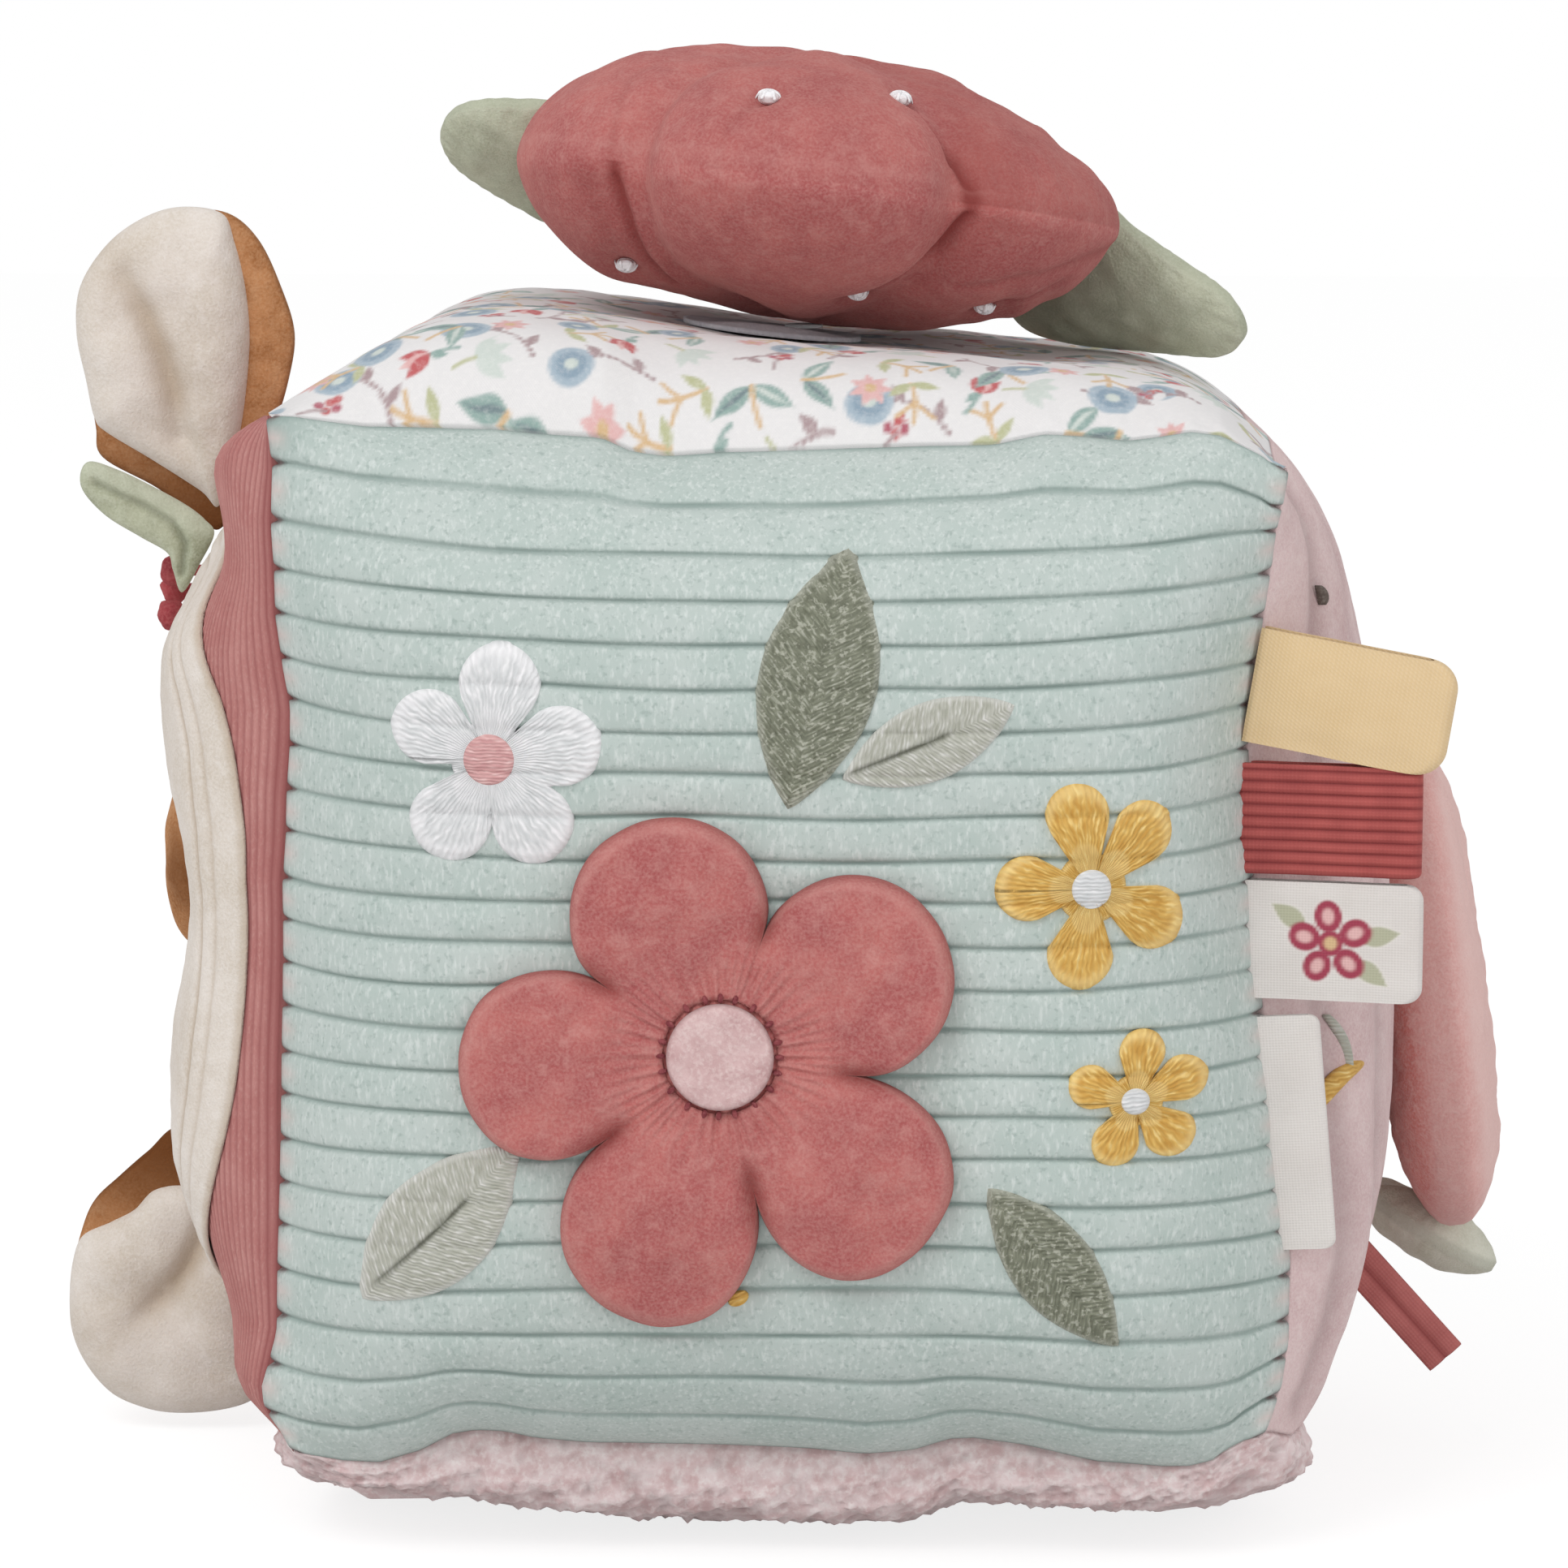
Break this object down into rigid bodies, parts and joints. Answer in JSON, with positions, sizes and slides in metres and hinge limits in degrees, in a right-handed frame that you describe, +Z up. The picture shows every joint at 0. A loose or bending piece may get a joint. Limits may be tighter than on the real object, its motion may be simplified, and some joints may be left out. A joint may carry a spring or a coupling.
{
  "type": "soft activity block",
  "caption": "Stuffed fabric cube for a baby: sewn panels with an appliqué flower, embroidery, ribbon loops, a plush flower on top, an animal face with ears and a hanging plush bud.",
  "frame": {"origin": "centre of the flat underside on which the block rests", "axes": "+Z up; the front with the big flower faces -Y; the ribbon loops are to +X and the animal face to -X"},
  "size_m": [0.2321, 0.192, 0.2245],
  "materials": {
    "mint_corduroy": "wide-wale corduroy",
    "print_cotton": "woven cotton with a small flower print",
    "coral_velour": "short-pile velour",
    "coral_needlecord": "fine-wale corduroy",
    "blush_velour": "short-pile velour",
    "pink_fleece": "curly fleece",
    "pink_felt": "felt",
    "cream_velour": "short-pile velour",
    "camel_velour": "short-pile velour",
    "sage_velour": "short-pile velour",
    "moss_thread": "satin-stitch embroidery",
    "stone_thread": "satin-stitch embroidery",
    "white_thread": "satin-stitch embroidery",
    "ochre_thread": "satin-stitch embroidery",
    "dark_thread": "satin-stitch embroidery",
    "butter_twill": "cotton tape",
    "brick_rib": "ribbed ribbon",
    "white_satin": "satin ribbon",
    "fibre_fill": "loose polyester fibre",
    "rattle_plastic": "matt"
  },
  "bodies": {
    "block": {"front_panel": "mint_corduroy", "back_panel": "mint_corduroy", "right_panel": "blush_velour", "left_panel": "coral_needlecord", "top_panel": "print_cotton", "bottom_panel": "pink_fleece", "stuffing_core": "fibre_fill", "stuffing_plug": "fibre_fill", "rattle_cup": "rattle_plastic", "rattle_lid": "rattle_plastic", "flower_hub": "coral_velour", "flower_felt_centre": "pink_felt", "white_flower": "white_thread", "white_flower_centre": "pink_felt", "yellow_flower_large": "ochre_thread", "yellow_flower_large_centre": "white_thread", "yellow_flower_small": "ochre_thread", "yellow_flower_small_centre": "white_thread", "moss_leaf_upper": "moss_thread", "stone_leaf_upper": "stone_thread", "stone_leaf_lower": "stone_thread", "moss_leaf_lower": "moss_thread", "plush_base_disc": "pink_felt", "plush_thread_shank": "white_thread", "head_patch": "cream_velour", "nose_patch": "camel_velour", "eye_upper": "dark_thread", "eye_lower": "dark_thread", "berry_1": "coral_velour", "berry_2": "coral_velour", "berry_3": "coral_velour"},
    "rattle_ball": {"rattle_ball": "rattle_plastic"},
    "petal_1": {"flower_petal_1": "coral_velour"},
    "petal_2": {"flower_petal_2": "coral_velour"},
    "petal_3": {"flower_petal_3": "coral_velour"},
    "petal_4": {"flower_petal_4": "coral_velour"},
    "petal_5": {"flower_petal_5": "coral_velour"},
    "butter_tab": {"butter_tab": "butter_twill"},
    "brick_tab": {"brick_tab": "brick_rib"},
    "white_tab": {"white_tab": "white_satin"},
    "blank_label": {"blank_label": "white_satin"},
    "plush_flower": {"plush_flower": "coral_velour", "plush_knot_1": "white_thread", "plush_knot_2": "white_thread", "plush_knot_3": "white_thread", "plush_knot_4": "white_thread", "plush_knot_5": "white_thread"},
    "plush_leaf_left": {"plush_leaf_left": "sage_velour"},
    "plush_leaf_right": {"plush_leaf_right": "sage_velour"},
    "ear_upper": {"ear_upper_back": "camel_velour", "ear_upper_lining": "cream_velour"},
    "ear_lower": {"ear_lower_back": "camel_velour", "ear_lower_lining": "cream_velour"},
    "ear_leaf": {"ear_leaf": "sage_velour"},
    "side_bud": {"side_bud": "coral_velour"},
    "side_leaf": {"side_leaf": "sage_velour"},
    "side_tape": {"side_tape": "brick_rib"}
  },
  "joints": [
    {"name": "rattle_slide", "type": "slide", "parent": "block", "child": "rattle_ball", "axis": [0, 0, 1], "range_m": [0, 0.012]},
    {"name": "petal_1_lift", "type": "hinge", "parent": "block", "child": "petal_1", "pos_m": [-0.01259, -0.09553, 0.09444], "axis": [0.9397, 0, 0.342], "range_deg": [0, 45], "stiffness_Nm_per_rad": 0.001},
    {"name": "petal_2_lift", "type": "hinge", "parent": "block", "child": "petal_2", "pos_m": [0.00456, -0.09544, 0.08837], "axis": [0.515, 0, -0.8572], "range_deg": [0, 45], "stiffness_Nm_per_rad": 0.001},
    {"name": "petal_3_lift", "type": "hinge", "parent": "block", "child": "petal_3", "pos_m": [0.00276, -0.09577, 0.07125], "axis": [-0.682, 0, -0.7314], "range_deg": [0, 45], "stiffness_Nm_per_rad": 0.001},
    {"name": "petal_4_lift", "type": "hinge", "parent": "block", "child": "petal_4", "pos_m": [-0.01259, -0.09598, 0.06756], "axis": [-0.9397, 0, 0.342], "range_deg": [0, 45], "stiffness_Nm_per_rad": 0.001},
    {"name": "petal_5_lift", "type": "hinge", "parent": "block", "child": "petal_5", "pos_m": [-0.02198, -0.0959, 0.08025], "axis": [-0.0523, 0, 0.9986], "range_deg": [0, 45], "stiffness_Nm_per_rad": 0.001},
    {"name": "butter_tab_fold", "type": "hinge", "parent": "block", "child": "butter_tab", "pos_m": [0.07403, -0.07335, 0.13215], "axis": [0, 0, 1], "range_deg": [-60, 12], "stiffness_Nm_per_rad": 0.001},
    {"name": "brick_tab_fold", "type": "hinge", "parent": "block", "child": "brick_tab", "pos_m": [0.07235, -0.07235, 0.11287], "axis": [0, 0, 1], "range_deg": [-60, 12], "stiffness_Nm_per_rad": 0.001},
    {"name": "white_tab_fold", "type": "hinge", "parent": "block", "child": "white_tab", "pos_m": [0.07207, -0.07207, 0.09414], "axis": [0, 0, 1], "range_deg": [-60, 12], "stiffness_Nm_per_rad": 0.001},
    {"name": "blank_label_fold", "type": "hinge", "parent": "block", "child": "blank_label", "pos_m": [0.07413, -0.07298, 0.06505], "axis": [0, 0, 1], "range_deg": [-60, 12], "stiffness_Nm_per_rad": 0.001},
    {"name": "plush_flower_rock", "type": "hinge", "parent": "block", "child": "plush_flower", "pos_m": [0.0012, -0.002, 0.18085], "axis": [0, 1, 0], "range_deg": [-7, 0], "stiffness_Nm_per_rad": 0.003},
    {"name": "plush_leaf_left_bend", "type": "hinge", "parent": "plush_flower", "child": "plush_leaf_left", "pos_m": [-0.04334, 0.01222, 0.20542], "axis": [-0.0819, 0.7642, -0.6397], "range_deg": [-15, 20], "stiffness_Nm_per_rad": 0.003},
    {"name": "plush_leaf_right_bend", "type": "hinge", "parent": "plush_flower", "child": "plush_leaf_right", "pos_m": [0.05105, 0.00755, 0.19159], "axis": [0.205, -0.642, 0.7388], "range_deg": [0, 20], "stiffness_Nm_per_rad": 0.003},
    {"name": "ear_upper_bend", "type": "hinge", "parent": "block", "child": "ear_upper", "pos_m": [-0.098, 0.005, 0.1485], "axis": [1, 0, 0], "range_deg": [-25, 15], "stiffness_Nm_per_rad": 0.006},
    {"name": "ear_lower_bend", "type": "hinge", "parent": "block", "child": "ear_lower", "pos_m": [-0.0965, 0.004, 0.043], "axis": [-0.9703, 0, 0.2419], "range_deg": [-25, 25], "stiffness_Nm_per_rad": 0.006},
    {"name": "ear_leaf_bend", "type": "hinge", "parent": "block", "child": "ear_leaf", "pos_m": [-0.094, -0.012, 0.148], "axis": [-0.1983, 0.6428, -0.7399], "range_deg": [-10, 25], "stiffness_Nm_per_rad": 0.001},
    {"name": "side_bud_swing", "type": "hinge", "parent": "block", "child": "side_bud", "pos_m": [0.098, 0.002, 0.1115], "axis": [0, -1, 0], "range_deg": [0, 70]},
    {"name": "side_leaf_bend", "type": "hinge", "parent": "block", "child": "side_leaf", "pos_m": [0.093, 0.0115, 0.0385], "axis": [0, -1, 0], "range_deg": [-30, 0], "stiffness_Nm_per_rad": 0.002},
    {"name": "side_tape_swing", "type": "hinge", "parent": "block", "child": "side_tape", "pos_m": [0.09, -0.006, 0.0315], "axis": [-0.7431, 0, -0.6691], "range_deg": [-30, 30], "stiffness_Nm_per_rad": 0.0005}
  ]
}
